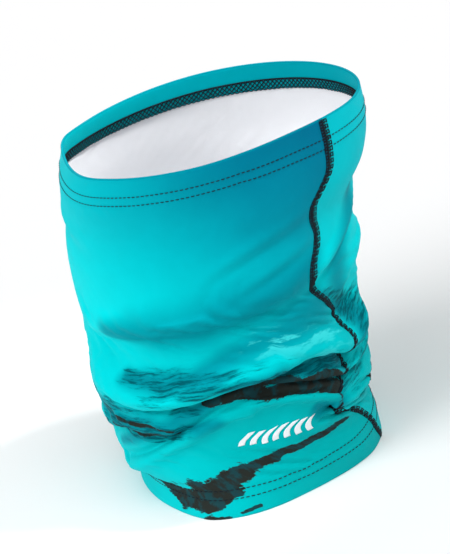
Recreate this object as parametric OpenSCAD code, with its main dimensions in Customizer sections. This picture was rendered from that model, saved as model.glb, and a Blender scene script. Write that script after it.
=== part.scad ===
// Neck gaiter: one printed knit panel sewn into an open tube with a flatlock seam,
// hemmed top and bottom, standing on its bottom hem and gathered in soft folds.
// The front faces -Y. Angles run round the tube from the front towards +X.

/* [Tube] */
// Standing height, from the bottom hem edge to the top rim
tube_h = 207; // [195:1:220]
// Half width of the top rim, left to right
top_half_w = 84.5; // [80:0.5:87]
// Half depth of the top rim, front to back
top_half_d = 70.5; // [67:0.5:74]
// Half width of the gathered body
body_half_w = 79.5; // [76:0.5:83]
// Half depth of the gathered body
body_half_d = 73; // [70:0.5:76]
// Half width of the bottom hem
bottom_half_w = 70.5; // [67:0.5:73]
// Half depth of the bottom hem
bottom_half_d = 77; // [74:0.5:79]
// How far the top rim leans to the right of the body
top_lean = 17; // [12:1:20]
// Thickness of the knit
knit_t = 1; // [0.8:0.1:1.2]

/* [Folds] */
// How far each gathered fold stands out
fold_out = 3; // [1:0.5:4]
// Height of the lowest fold at the front
fold_low = 84; // [78:1:90]
// Distance from one fold to the next
fold_pitch = 25; // [22:1:28]
// How far the folds climb from the left side to the right side
fold_climb = 14; // [6:1:18]

/* [Hems] */
// Depth of the turned-in hem allowance
hem_depth = 19.5; // [19:0.5:21]
// Distance from a hem edge to its nearer needle line
hem_to_needle = 12.5; // [11.5:0.1:12.5]
// Distance between the two needle lines of a hem
needle_gauge = 6; // [5.4:0.1:6]

/* [Seam] */
// Angle of the side seam from the front at the rim, in degrees
seam_angle = 45; // [38:1:52]
// How far the seam swings back round the folds, in degrees
seam_swing = 18; // [0:1:22]
// Distance from the first to the last of the seam's needle lines
seam_gauge = 5.2; // [4.8:0.1:5.6]

/* [Threads] */
// Thickness of a needle thread
needle_thread_t = 0.4; // [0.3:0.05:0.5]
// Thickness of the layer of cover or looper thread
cover_thread_t = 0.3; // [0.2:0.05:0.4]

/* [Mark] */
// Height of the mark's middle above the bottom hem edge
mark_z = 47; // [44:1:52]
// Angle of the mark's middle from the front, in degrees
mark_angle = 17; // [8:1:20]
// Number of slanted dashes
mark_dashes = 7; // [5:1:8]
// Height of a dash
dash_h = 8; // [6:0.5:10]
// Width of a dash
dash_w = 4; // [3:0.5:4]
// Distance from one dash to the next
dash_pitch = 6.8; // [6:0.2:7]

/* [Hidden] */

// Steps round the tube and up its wall
around = 64;
levels = 32;
// Gap that keeps a thread off the facets of the wall
clear = 0.12;
// The body's axis and the bottom's axis, so that the whole stands over the origin
body_x = -10;
bottom_x = -7.4;
// Fractions of the height where the body's width is reached and where the lean begins
belly_at = 0.24;
lean_from = 0.57;
// Number of gathered folds, and the height of one over which it fades
fold_count = 2;
fold_fade = 9;
// Height and spread of the seam's swing round the folds
swing_z = 52;
swing_fade = 20;
// Shoulder that stands out just under the rim: how far, at which fraction of the height, how wide
shoulder_out = 3;
shoulder_at = 0.88;
shoulder_fade = 0.09;
// Angle through which a hem thread climbs over the seam, on each side of it
seam_crossing = 6;
// Slant of a dash, as a shift of its top edge in degrees, and steps across a dash
dash_slant = 3;
dash_steps = 2;
// Colours
knit_colour = [0.02, 0.66, 0.74];
thread_colour = [0.03, 0.08, 0.10];
mark_colour = [0.92, 0.94, 0.95];

// Smooth step from 0 to 1
function ease(x) = let (c = min(1, max(0, x))) c * c * (3 - 2 * c);
// Smooth hump of height 1 and the given half spread
function hump(x, spread) = exp(-pow(x / spread, 2));

// Half width, half depth and axis of the tube at a height
function rise(z) = ease(z / tube_h / belly_at);
function lean(z) = ease((z / tube_h - lean_from) / (1 - lean_from));
function shoulder(z) = shoulder_out * hump(z / tube_h - shoulder_at, shoulder_fade);
function half_w(z) = bottom_half_w + (body_half_w - bottom_half_w) * rise(z)
    + (top_half_w - body_half_w) * lean(z) + shoulder(z);
function half_d(z) = bottom_half_d + (body_half_d - bottom_half_d) * rise(z)
    + (top_half_d - body_half_d) * lean(z);
function axis_x(z) = bottom_x + (body_x - bottom_x) * rise(z) + top_lean * lean(z);

// Height of a fold's crest at an angle, and what all folds add to the wall there
function crest_z(k, a) = fold_low + k * fold_pitch + fold_climb / 2 * sin(a + 40 * k);
function fold_sum(z, a, k = 0) = k >= fold_count ? 0
    : hump(z - crest_z(k, a), fold_fade) + fold_sum(z, a, k + 1);

// A point on the wall, moved out by off from its outer face
function wall_point(z, a, off = 0) =
    let (out = off + fold_out * fold_sum(z, a))
    [axis_x(z) + (half_w(z) + out) * sin(a), -(half_d(z) + out) * cos(a), z];

// Angle of the seam's middle at a height, and the angle that a length along the wall takes up
function seam_at(z) = seam_angle + seam_swing * hump(z - swing_z, swing_fade);
function arc_angle(length, z) = length / half_w(z) * 180 / PI;

// Heights of the wall's levels between two limits
function level_heights(lo, hi) = [for (i = [0 : levels])
    let (z = i * tube_h / levels) if (z > lo && z < hi) z];

// A solid through loops of points, either joined end to end or closed by its end faces
module loft(loops, joined) {
    count = len(loops);
    m = len(loops[0]);
    last = joined ? count - 1 : count - 2;
    sides = [for (i = [0 : last], j = [0 : m - 1])
        let (i2 = (i + 1) % count, j2 = (j + 1) % m,
             p = i * m + j, q = i * m + j2, r = i2 * m + j2, s = i2 * m + j)
        each [[p, q, r], [p, r, s]]];
    ends = joined ? [] : [for (j = [1 : m - 2])
        each [[0, j + 1, j], [(count - 1) * m, (count - 1) * m + j, (count - 1) * m + j + 1]]];
    polyhedron(points = [for (l = loops) each l], faces = concat(sides, ends), convexity = 8);
}

// The cross-section of the wall at an angle: up the outer face, then down the inner face,
// which steps in by one more layer of knit at each turned-in hem
function wall_section(a) = concat(
    [for (z = concat([0], level_heights(0, tube_h), [tube_h])) wall_point(z, a)],
    [wall_point(tube_h, a, -2 * knit_t), wall_point(tube_h - hem_depth, a, -2 * knit_t)],
    [for (z = [tube_h - hem_depth, each [for (i = [levels : -1 : 0]) let (h = i * tube_h / levels)
        if (h > hem_depth && h < tube_h - hem_depth) h], hem_depth]) wall_point(z, a, -knit_t)],
    [wall_point(hem_depth, a, -2 * knit_t), wall_point(0, a, -2 * knit_t)]);

// A band of thread round the tube between two heights, with its faces at two offsets
module hem_band(lo, hi, off, t, climb) {
    middle = (lo + hi) / 2;
    loft([for (i = [0 : around - 1])
        let (a = i * 360 / around, near = abs(a - seam_at(middle)),
             o = off + (near < seam_crossing ? climb : 0))
        [wall_point(lo, a, o), wall_point(hi, a, o),
         wall_point(hi, a, o + t), wall_point(lo, a, o + t)]], true);
}

// A strip of thread along the seam between two distances from its middle
module seam_strip(from, to, lo, hi, off, t) {
    loft([for (z = concat([lo], level_heights(lo, hi), [hi]))
        let (left = seam_at(z) + arc_angle(from, z), right = seam_at(z) + arc_angle(to, z))
        [wall_point(z, left, off), wall_point(z, right, off),
         wall_point(z, right, off + t), wall_point(z, left, off + t)]], false);
}

// Heights of the needle lines at each hem
function top_line(k) = tube_h - hem_to_needle - k * needle_gauge;
function bottom_line(k) = hem_to_needle + k * needle_gauge;
seam_ends = 0.6;
seam_climb = cover_thread_t + needle_thread_t + 2 * clear;

module tube_panel() {
    color(knit_colour)
        loft([for (i = [0 : around - 1]) wall_section(i * 360 / around)], true);
}

module seam_cover_thread() {
    color(thread_colour)
        seam_strip(-seam_gauge / 2, seam_gauge / 2, seam_ends, tube_h - seam_ends,
                   clear, cover_thread_t);
}

module seam_needle_thread(k) {
    middle = (k - 2.5) * seam_gauge / 3;
    color(thread_colour)
        seam_strip(middle - needle_thread_t / 2, middle + needle_thread_t / 2, seam_ends,
                   tube_h - seam_ends, clear + cover_thread_t, needle_thread_t);
}

module seam_looper_thread() {
    color(thread_colour)
        seam_strip(-seam_gauge / 2, seam_gauge / 2, hem_depth + seam_ends,
                   tube_h - hem_depth - seam_ends,
                   -knit_t - clear - cover_thread_t, cover_thread_t);
}

module hem_needle_thread(z) {
    color(thread_colour)
        hem_band(z - needle_thread_t / 2, z + needle_thread_t / 2, clear, needle_thread_t,
                 seam_climb);
}

module hem_looper_thread(lo, hi) {
    color(thread_colour)
        hem_band(lo, hi, -2 * knit_t - clear - cover_thread_t, cover_thread_t, 0);
}

module top_hem_needle_thread_upper() { hem_needle_thread(top_line(0)); }
module top_hem_needle_thread_lower() { hem_needle_thread(top_line(1)); }
module top_hem_looper_thread() { hem_looper_thread(top_line(1), top_line(0)); }
module bottom_hem_needle_thread_upper() { hem_needle_thread(bottom_line(1)); }
module bottom_hem_needle_thread_lower() { hem_needle_thread(bottom_line(0)); }
module bottom_hem_looper_thread() { hem_looper_thread(bottom_line(0), bottom_line(1)); }

// One dash, leaning to the right
module dash(middle) {
    lo = mark_z - dash_h / 2;
    hi = mark_z + dash_h / 2;
    loft([for (i = [0 : dash_steps])
        let (a = middle + arc_angle((i / dash_steps - 0.5) * dash_w, mark_z))
        [wall_point(lo, a - dash_slant / 2, clear), wall_point(hi, a + dash_slant / 2, clear),
         wall_point(hi, a + dash_slant / 2, clear + cover_thread_t),
         wall_point(lo, a - dash_slant / 2, clear + cover_thread_t)]], false);
}

module reflective_transfer() {
    color(mark_colour)
        for (k = [0 : mark_dashes - 1])
            dash(mark_angle + arc_angle((k - (mark_dashes - 1) / 2) * dash_pitch, mark_z));
}

tube_panel();
seam_cover_thread();
seam_needle_thread(1);  // seam_needle_thread_1
seam_needle_thread(2);  // seam_needle_thread_2
seam_needle_thread(3);  // seam_needle_thread_3
seam_needle_thread(4);  // seam_needle_thread_4
seam_looper_thread();
top_hem_needle_thread_upper();
top_hem_needle_thread_lower();
top_hem_looper_thread();
bottom_hem_needle_thread_upper();
bottom_hem_needle_thread_lower();
bottom_hem_looper_thread();
reflective_transfer();
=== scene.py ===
"""A knit neck gaiter, sewn from one printed panel, standing on its bottom hem in gathered folds."""

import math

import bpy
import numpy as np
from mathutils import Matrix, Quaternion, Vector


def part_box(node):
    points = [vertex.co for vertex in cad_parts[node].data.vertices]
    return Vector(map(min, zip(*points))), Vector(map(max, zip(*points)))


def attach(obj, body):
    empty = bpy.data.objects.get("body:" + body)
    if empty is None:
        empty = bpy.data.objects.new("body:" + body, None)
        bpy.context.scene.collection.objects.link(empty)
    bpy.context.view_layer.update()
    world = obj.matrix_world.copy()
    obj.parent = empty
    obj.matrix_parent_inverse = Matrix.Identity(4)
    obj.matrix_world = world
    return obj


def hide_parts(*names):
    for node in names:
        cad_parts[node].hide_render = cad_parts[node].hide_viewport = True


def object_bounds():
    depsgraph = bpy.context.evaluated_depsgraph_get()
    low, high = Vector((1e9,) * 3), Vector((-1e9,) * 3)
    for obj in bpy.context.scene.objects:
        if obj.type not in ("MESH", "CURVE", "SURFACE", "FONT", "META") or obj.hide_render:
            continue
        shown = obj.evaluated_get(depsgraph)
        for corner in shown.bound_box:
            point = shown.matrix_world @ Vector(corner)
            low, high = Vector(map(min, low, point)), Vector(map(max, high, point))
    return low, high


bl_info = {
    "name": "Neck gaiter",
    "version": (1, 0, 0),
    "blender": (4, 5, 0),
    "location": "View3D > Sidebar > Gaiter",
    "description": "Builds a printed knit neck gaiter with its hems, seam and reflective mark",
    "category": "Add Mesh",
}

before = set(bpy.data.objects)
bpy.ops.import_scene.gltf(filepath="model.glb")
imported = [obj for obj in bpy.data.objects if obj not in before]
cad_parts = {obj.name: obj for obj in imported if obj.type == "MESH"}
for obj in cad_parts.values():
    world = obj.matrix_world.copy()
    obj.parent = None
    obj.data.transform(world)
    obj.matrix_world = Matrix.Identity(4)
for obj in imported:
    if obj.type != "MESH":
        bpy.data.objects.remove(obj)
CAD_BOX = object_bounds()

MM = 0.001


def node_box(name):
    """Lowest and highest corner of a frame node, in millimetres."""
    low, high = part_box(name)
    return np.array(low) / MM, np.array(high) / MM


# Sizes that come from the frame, in millimetres. Angles run round the tube from the front towards
# +X, in degrees. Heights are above the bottom hem edge, and lengths are measured down the cloth
# from the rim's fold.
PANEL_LOW, PANEL_HIGH = node_box("tube_panel")
RIM_LOW, RIM_HIGH = node_box("top_hem_needle_thread_upper")
FOOT_LOW = node_box("bottom_hem_needle_thread_lower")[0]
MARK_LOW, MARK_HIGH = node_box("reflective_transfer")
HEIGHT = PANEL_HIGH[2] - PANEL_LOW[2]
HEM_TO_NEEDLE = HEIGHT - (RIM_LOW[2] + RIM_HIGH[2]) / 2
NEEDLE_GAUGE = RIM_LOW[2] - node_box("top_hem_needle_thread_lower")[0][2]

# The panel as it lies flat, from the rim's fold to the bottom hem's fold, the part turned in at
# each end, which passes the inner needle row a little, and where the seam runs
PANEL_LENGTH = 262.0
CUT_EDGE_BEYOND = 0.9
HEM_DEPTH = HEM_TO_NEEDLE + NEEDLE_GAUGE + CUT_EDGE_BEYOND
SEAM_ANGLE = 45.0


# ---- Settings ----


def colour_setting(name, default, description):
    """A colour in the sidebar."""
    return bpy.props.FloatVectorProperty(
        name=name, description=description, default=default, subtype="COLOR", min=0.0, max=1.0)


def length_setting(name, default, description):
    """A length in the sidebar."""
    return bpy.props.FloatProperty(
        name=name, description=description, default=default, unit="LENGTH")


def angle_setting(name, degrees, description):
    """An angle in the sidebar."""
    return bpy.props.FloatProperty(
        name=name, description=description, default=math.radians(degrees), subtype="ANGLE")


def amount_setting(name, default, description):
    """A plain number in the sidebar."""
    return bpy.props.FloatProperty(name=name, description=description, default=default, min=0.0)


class GaiterClothSettings(bpy.types.PropertyGroup):
    """How the knit panel is made and gathered."""

    knit_thickness: length_setting("Knit thickness", 0.8 * MM, "Thickness of one layer of knit")
    girth: length_setting("Girth", 0.490, "Length round the tube, seam to seam, laid flat")
    columns: bpy.props.IntProperty(
        name="Columns", description="Steps of the mesh round the tube", default=240, min=48)
    wale: length_setting("Wale", 0.62 * MM, "Width of one column of knit loops")


class GaiterPrintSettings(bpy.types.PropertyGroup):
    """Colours of the printed outside and the white inside."""

    sky_light: colour_setting("Light sky", (0.0, 0.72, 0.76), "Bright turquoise low on the print")
    sky_deep: colour_setting("Deep sky", (0.0, 0.13, 0.25), "Deep blue-green at the print's top")
    slope: colour_setting("Snow slope", (0.0, 0.40, 0.41), "Even turquoise at the print's foot")
    # The shade colour is mostly painted shade in the hollows of the folds and partly the print's
    # cloud bands; it also paints shade along the rim's fold
    shade: colour_setting("Cloud print and painted fold shade", (0.0, 0.20, 0.27), "Soft bands across the print")
    ridge: colour_setting("Far ridge", (0.0, 0.09, 0.115), "Dark teal of the far slopes")
    rock: colour_setting("Rock", (0.022, 0.022, 0.018), "Brown-black of the near rock")
    snow: colour_setting("Snow", (0.06, 0.78, 0.80), "Pale strokes along the slopes")
    inside: colour_setting("Inside", (0.90, 0.90, 0.93), "Unprinted inner side of the knit")


class GaiterThreadSettings(bpy.types.PropertyGroup):
    """The sewing threads."""

    colour: colour_setting("Thread colour", (0.004, 0.010, 0.016), "Near-black navy polyester")
    needle: length_setting("Needle thread", 0.54 * MM, "Thickness of the needle threads")
    cover: length_setting("Cover thread", 0.40 * MM, "Thickness of cover and looper threads")
    stitch: length_setting("Stitch", 2.6 * MM, "Length of one hem stitch")
    seam_stitch: length_setting("Seam stitch", 1.75 * MM, "Length of one side seam stitch")


class GaiterStageSettings(bpy.types.PropertyGroup):
    """Floor, light and view."""

    floor: colour_setting("Floor", (0.97, 0.97, 0.975), "Colour of the floor")
    surround: amount_setting("Surround", 0.29, "Strength of the even light from all round")
    key: amount_setting("Key light", 1.5, "Strength of the soft light from the front left")
    inside: amount_setting("Inside light", 72.0, "Power of the light into the top, in watts")
    look_down: angle_setting("Look down", 24.0, "How far the camera looks down on the gaiter")
    lean: angle_setting("Lean", 13.2, "How far the camera is rolled to its side")
    distance: length_setting("Distance", 1.6, "From the camera to the middle of the gaiter")
    lens: amount_setting("Lens", 182.86, "Focal length of the camera, in millimetres")


# ---- Curves ----


def smooth_curve(points, x, period=0.0):
    """A smooth curve through (position, value) points, level past its ends or repeating."""
    xs = np.array([p[0] for p in points], float)
    ys = np.array([p[1] for p in points], float)
    if period:
        xs = np.concatenate([xs[-2:] - period, xs, xs[:2] + period])
        ys = np.concatenate([ys[-2:], ys, ys[:2]])
    slopes = np.gradient(ys, xs)
    if not period:
        slopes[0] = slopes[-1] = 0.0
    x = np.asarray(x, float)
    i = np.clip(np.searchsorted(xs, x) - 1, 0, len(xs) - 2)
    step = xs[i + 1] - xs[i]
    t = np.clip((x - xs[i]) / step, 0.0, 1.0)
    t2, t3 = t * t, t * t * t
    return (
        (2 * t3 - 3 * t2 + 1) * ys[i]
        + (t3 - 2 * t2 + t) * step * slopes[i]
        + (3 * t2 - 2 * t3) * ys[i + 1]
        + (t3 - t2) * step * slopes[i + 1]
    )


def ease(x):
    """Smooth step from 0 to 1."""
    x = np.clip(x, 0.0, 1.0)
    return x * x * (3.0 - 2.0 * x)

def unit(vectors):
    """Vectors at length 1."""
    return vectors / np.linalg.norm(vectors, axis=-1, keepdims=True)


def signed(angles):
    """Angles brought to between -180 and 180 degrees."""
    return (angles + 180.0) % 360.0 - 180.0


# ---- The gathered cloth ----

# The tube's outline without its folds, as (share of the height, reach to the left or right).
# It starts from the bottom hem of the frame, and the reaches above are the gathered body's.
LEFT_REACH = [(0.0, FOOT_LOW[0] + 0.6), (0.06, -76.5), (0.12, -85.5), (0.22, -87.0),
              (0.32, -93.0), (0.38, -91.0), (0.45, -84.5), (0.54, -88.5), (0.68, -88.8),
              (0.80, -85.2), (0.94, -81.5), (1.0, -77.6)]
RIGHT_REACH = [(0.0, 63.0), (0.08, 62.0), (0.12, 59.0), (0.20, 66.8), (0.26, 66.5), (0.34, 67.5),
               (0.41, 62.0), (0.48, 67.0), (0.58, 73.5), (0.66, 73.5), (0.73, 74.8),
               (0.82, 86.5), (0.92, 92.0), (1.0, 92.0)]
DEPTH_REACH = [(0.0, 77.0), (0.3, 74.0), (0.6, 73.0), (1.0, 70.5)]


def outline(z):
    """Axis, half width and half depth of the tube at a height, without its folds."""
    share = z / HEIGHT
    left = smooth_curve(LEFT_REACH, share)
    right = smooth_curve(RIGHT_REACH, share)
    return (left + right) / 2, (right - left) / 2, smooth_curve(DEPTH_REACH, share)


# The rim isn't a true oval: round the front it stands forward on the left and back on the
# right. Each entry is (angle, forward, down), in millimetres at the rim.
RIM_SHIFT = [(-180, 0.0, 0.6), (-130, 0.0, 2.2), (-98, 0.0, 2.6), (-78, 6.0, 2.6), (-62, 7.2, 3.0),
             (-45, 5.2, 2.2), (-25, 3.0, 1.4), (-5, 1.2, 0.3), (12, -1.8, -0.6), (32, -4.2, -1.3),
             (50, -3.6, -1.1), (70, -1.2, -0.4), (95, 0.0, 0.0)]
RIM_SHIFT_REACH = 62.0

# How far the foot stands out, in millimetres at each angle, and how far up that fades out
FOOT_SHIFT = [(-180, 0.0), (-120, 0.0), (-86, -1.0), (-69, -0.2), (-58, 1.2), (-48, 3.2),
              (-38, 6.6), (-31, 8.8), (-24, 7.6), (-16, 4.8), (-9, 1.8), (0, -1.6), (12, -2.4),
              (22, -0.4), (32, 2.2), (44, 2.4), (60, 0.6), (90, 0.0)]
FOOT_SHIFT_REACH = 42.0

# The same at the rim, where the left end is pressed to a corner
RIM_CORNER = [(-180, 0.0), (-134, 0.0), (-120, 1.0), (-110, 2.6), (-103, 1.8), (-94, 0.0),
              (-82, -0.8), (-66, 0.0), (60, 0.0)]
RIM_CORNER_REACH = 36.0


def rim_shift(rows, angles):
    """Forward and downward shift of the cloth near the rim."""
    fade = 1.0 - ease(rows[:, None] / RIM_SHIFT_REACH)
    return [smooth_curve([(p[0], p[way]) for p in RIM_SHIFT], signed(angles), 360.0) * fade
            for way in (1, 2)]


def end_shift(rows, angles):
    """Outward shift of the cloth near the foot and near the rim."""
    foot = 1.0 - ease((rows[-1] - rows[:, None]) / FOOT_SHIFT_REACH)
    rim = 1.0 - ease(rows[:, None] / RIM_CORNER_REACH)
    return (smooth_curve(FOOT_SHIFT, signed(angles), 360.0) * foot
            + smooth_curve(RIM_CORNER, signed(angles), 360.0) * rim)


# Each crease is a line round the tube where a roll of cloth above it meets the cloth below: how
# far up and down the cloth the fold spreads, in millimetres, and its path. The path lists (angle,
# height, turn), where turn is how far, in degrees, the cloth turns in under the roll. A turn
# below 0 is the opposite: the cloth below stands out as a ledge in front of it.
CREASES = {
    "belly": (15.0, 7.0, [
        (-180, 84, 66), (-135, 92, 70), (-90, 88, 58), (-62, 75, 82), (-45, 70, 92),
        (-30, 70, 94), (-10, 76, 92), (5, 77, 90), (18, 78, 86), (30, 74, 92),
        (45, 67, 98), (58, 67, 96), (72, 78, 72), (90, 86, 44), (125, 78, 62), (155, 78, 70)]),
    "pocket": (4.2, 7.5, [
        (-4, 75, 0), (6, 72, 66), (16, 69, 116), (30, 62, 124), (44, 56, 120), (60, 54, 92),
        (90, 56, 56), (120, 60, 46), (150, 62, 0)]),
    "hollow": (6.0, 7.0, [
        (26, 50, 0), (36, 46, 70), (45, 42, 122), (58, 36, 108), (90, 27, 66), (125, 30, 66),
        (160, 34, 56), (185, 36, 0)]),
    "left_roll": (8.0, 5.0, [
        (-165, 42, 0), (-130, 39, 60), (-90, 43, 80), (-70, 47, 88), (-55, 52, 78),
        (-38, 51, 52), (-24, 52, 0)]),
    "ledge": (4.6, 9.5, [
        (-102, 16, 0), (-86, 20, -26), (-73, 25, -52), (-58, 31, -78), (-40, 42, -92),
        (-23, 55, -94), (-10, 64, -80), (4, 66, -40), (12, 64, 0)]),
    "panel_top": (3.2, 4.6, [
        (-8, 68, 0), (2, 65, -60), (14, 60, -98), (30, 53, -104), (40, 48, -84), (50, 42, 0)]),
    "foot_roll": (8.0, 4.0, [
        (-150, 14, 0), (-118, 12, 24), (-90, 10, 22), (-70, 10, 20), (-52, 12, 12), (-38, 16, 0)]),
    "waist": (13.0, 8.0, [
        (-95, 104, 0), (-66, 105, 30), (-30, 110, 42), (0, 112, 40), (16, 115, 36),
        (35, 117, 32), (48, 120, 18), (62, 122, 0)]),
    "shoulder": (8.0, 6.0, [
        (38, 114, 0), (52, 121, 40), (66, 130, 46), (80, 141, 50), (95, 149, 46), (130, 148, 24),
        (160, 144, 0)]),
    "hip": (8.0, 5.5, [
        (46, 92, 0), (58, 98, 34), (74, 108, 40), (92, 116, 34), (120, 120, 0)]),
    "rim_dent": (7.0, 8.0, [
        (-110, 172, 0), (-90, 169, 20), (-72, 163, 16), (-50, 158, 0)]),
    "high_diagonal": (5.2, 4.6, [
        (-12, 138, 0), (5, 146, 21), (25, 153, 22), (40, 158, 14), (48, 161, 0)]),
    "low_diagonal": (5.2, 4.6, [
        (-6, 122, 0), (12, 129, 21), (30, 137, 24), (42, 142, 14), (48, 145, 0)]),
    "back_belly": (14.0, 10.0, [
        (110, 112, 0), (140, 116, 46), (180, 112, 60), (215, 118, 50), (250, 116, 0)]),
    "back_low": (10.0, 9.0, [
        (140, 58, 0), (165, 56, 50), (190, 54, 74), (220, 60, 60), (245, 62, 0)]),
}

# A path longer than this runs the whole way round and closes on itself, and between its places
# a crease may turn further than its largest turn by this factor
WHOLE_ROUND = 300.0
TURN_MORE = 1.1

# The creases are moved until they lie at their heights: how many times, and by what share of
# what is missing. They stay clear of the panel's ends, and their turns fade out towards the ends.
ROUNDS = 16
MOVE_SHARE = 0.7
CREASE_CLEAR = 4.0
RIM_CALM = 22.0
FOOT_CALM = 16.0


def fold_shape(x):
    """Turn of the cloth across a crease: out, sharply in, and out again."""
    return -(1.0 - 2.0 * x * x) * np.exp(-x * x)


def crease_lines(angles):
    """Height and turn of every crease at each angle, as two arrays of creases by angles."""
    heights, turns = [], []
    for _, _, path in CREASES.values():
        first, last = path[0][0], path[-1][0]
        if last - first > WHOLE_ROUND:
            place, period = first + (angles - first) % 360.0, 360.0
        else:
            middle = (first + last) / 2
            place, period = middle + (angles - middle + 180.0) % 360.0 - 180.0, 0.0
        heights.append(smooth_curve([(p[0], p[1]) for p in path], place, period))
        turn = smooth_curve([(p[0], p[2]) for p in path], place, period)
        if not period:
            turn = np.where((place <= first) | (place >= last), 0.0, turn)
        low, high = min(0, *(p[2] for p in path)), max(0, *(p[2] for p in path))
        turns.append(np.radians(np.clip(turn, low * TURN_MORE, high * TURN_MORE)))
    return np.array(heights), np.array(turns)


def run_down(slopes, step):
    """Running sum of slopes from the rim down, half a step at a time."""
    sums = np.cumsum((slopes[1:] + slopes[:-1]) / 2 * step, axis=0)
    return np.vstack([np.zeros(slopes.shape[1]), sums])


def gather(rows, angles):
    """Lets the cloth down from the rim in folds. Returns height and stand-out of every row and
    angle: each column of cloth keeps its length along rows, and turns at every crease."""
    target, turns = crease_lines(angles)
    place = (HEIGHT - target) * PANEL_LENGTH / HEIGHT
    step = np.diff(rows)[:, None]
    for _ in range(ROUNDS):
        turn = np.zeros((len(rows), len(angles)))
        for k, (above, below, _path) in enumerate(CREASES.values()):
            x = rows[:, None] - place[k][None, :]
            x = np.where(x < 0, x / above, x / below)
            turn += turns[k][None, :] * fold_shape(x)
        turn = (turn * ease(rows[:, None] / RIM_CALM)
                * ease((rows[-1] - rows[:, None]) / FOOT_CALM))
        down = run_down(np.cos(turn), step)
        height = HEIGHT * (1.0 - down / down[-1])
        for k in range(len(CREASES)):
            at = np.array([np.interp(place[k, j], rows, height[:, j])
                           for j in range(len(angles))])
            place[k] += MOVE_SHARE * (at - target[k])
        place = np.clip(place, CREASE_CLEAR, PANEL_LENGTH - CREASE_CLEAR)
    out = run_down(np.sin(turn), step)
    out -= out[-1] * ease(rows[:, None] / PANEL_LENGTH)
    return height, out


# How far the side of the tube is dragged round by its folds, as (height, degrees), and how wide
# round the tube that drag is felt
SEAM_DRAG = [(0, 26), (9, 22), (18, 20), (25, 17), (31, 9), (37, -2), (42, -5), (47, 1), (54, 6),
             (60, 9), (70, 11), (76, 14), (82, 16), (90, 14), (97, 8), (103, 3), (110, -3),
             (117, -6), (125, -7), (131, -5), (138, -1), (145, 0), (155, -3), (164, -6), (170, -4),
             (177, -1), (190, -1), (207, -2)]
DRAG_SPREAD = 62.0


def drag(height, angles):
    """Sideways shift of the cloth round the tube, in degrees."""
    near = np.exp(-((signed(angles - SEAM_ANGLE) / DRAG_SPREAD) ** 2))
    return smooth_curve(SEAM_DRAG, height) * near


# Rows of the mesh down the cloth, as (length where they start, step). They are close together in
# the hems and in the folds, and the last entry is where they end.
ROW_STEPS = [(0.0, 1.1), (22.0, 2.6), (100.0, 1.3), (PANEL_LENGTH - 21.0, 1.3),
             (PANEL_LENGTH - 0.5, 0.0)]


def row_lengths():
    """Places of the mesh rows down the cloth."""
    parts = [np.arange(start, stop, step)
             for (start, step), (stop, _) in zip(ROW_STEPS, ROW_STEPS[1:])]
    return np.concatenate(parts + [[PANEL_LENGTH]])


class Cloth:
    """The middle of the knit as a grid of points, rows down the cloth by columns round it."""

    def __init__(self, settings):
        self.rows = row_lengths()
        self.angles = np.arange(settings.columns) * 360.0 / settings.columns
        self.per_degree = settings.girth / MM / 360.0
        self.knit = settings.knit_thickness / MM
        height, out = gather(self.rows, self.angles)
        turned = np.radians(self.angles + drag(height, self.angles))
        axis, wide, deep = outline(height)
        forward, down = rim_shift(self.rows, self.angles)
        out = out + end_shift(self.rows, self.angles)
        self.points = np.stack([axis + (wide + out) * np.sin(turned),
                                -(deep + out) * np.cos(turned) - forward, height - down], axis=-1)
        self.measure()

    def measure(self):
        """Works out the outward normal at every point."""
        down = np.gradient(self.points, axis=0)
        round_ = (np.roll(self.points, -1, axis=1) - np.roll(self.points, 1, axis=1)) / 2
        self.normals = unit(np.cross(down, round_))

    def at(self, lengths, angles, lift=0.0):
        """Points and outward normals at lengths down the cloth and angles round it."""
        lengths, angles, lift = np.broadcast_arrays(lengths, angles, lift)
        columns = len(self.angles)
        row = np.interp(lengths, self.rows, np.arange(len(self.rows)))
        column = (angles % 360.0) * columns / 360.0
        i = np.clip(row.astype(int), 0, len(self.rows) - 2)
        j = column.astype(int)
        down, along = (row - i)[..., None], (column - j)[..., None]
        j, k = j % columns, (j + 1) % columns

        def blend(grid):
            upper = grid[i, j] * (1 - along) + grid[i, k] * along
            lower = grid[i + 1, j] * (1 - along) + grid[i + 1, k] * along
            return upper * (1 - down) + lower * down

        normal = unit(blend(self.normals))
        return blend(self.points) + normal * lift[..., None], normal


# How the folds settle: the cloth is a little longer than its folds, so that it finds its own
# small wrinkles, and it is held firmly at both hems and lightly everywhere else
SETTLE_STEPS = 12
SETTLE_SPARE = 0.004
SETTLE_HOLD = 0.6
SETTLE_GRAVITY = 0.6
SETTLE_APART = 1.6 * MM
HEM_HOLD_REACH = 16.0
FABRIC = {"quality": 5, "mass": 0.02, "tension_stiffness": 15.0, "compression_stiffness": 15.0,
          "shear_stiffness": 4.5, "bending_stiffness": 3.0, "air_damping": 2.0,
          "vertex_group_mass": "held", "pin_stiffness": 1.0, "shrink_min": -SETTLE_SPARE}


def new_object(name, data):
    """An object in the scene, with that data."""
    made = bpy.data.objects.new(name, data)
    bpy.context.collection.objects.link(made)
    return made


def settle_sheet(points, lengths):
    """A temporary sheet of every second row and column, with a vertex group that holds it."""
    rows, columns = points.shape[:2]
    index = np.arange(rows * columns).reshape(rows, columns)
    upper, lower = index[:-1], index[1:]
    faces = np.stack([upper, lower, np.roll(lower, -1, axis=1), np.roll(upper, -1, axis=1)], -1)
    mesh = bpy.data.meshes.new("settling")
    mesh.from_pydata((points.reshape(-1, 3) * MM).tolist(), [], faces.reshape(-1, 4).tolist())
    sheet = new_object("settling", mesh)
    held = sheet.vertex_groups.new(name="held")
    for row, length in enumerate(lengths):
        from_hem = max(0.0, min(length, lengths[-1] - length) - HEM_DEPTH) / HEM_HOLD_REACH
        firm = SETTLE_HOLD + (1.0 - SETTLE_HOLD) * max(0.0, 1.0 - from_hem) ** 2
        held.add(index[row].tolist(), firm, "REPLACE")
    return sheet


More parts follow.
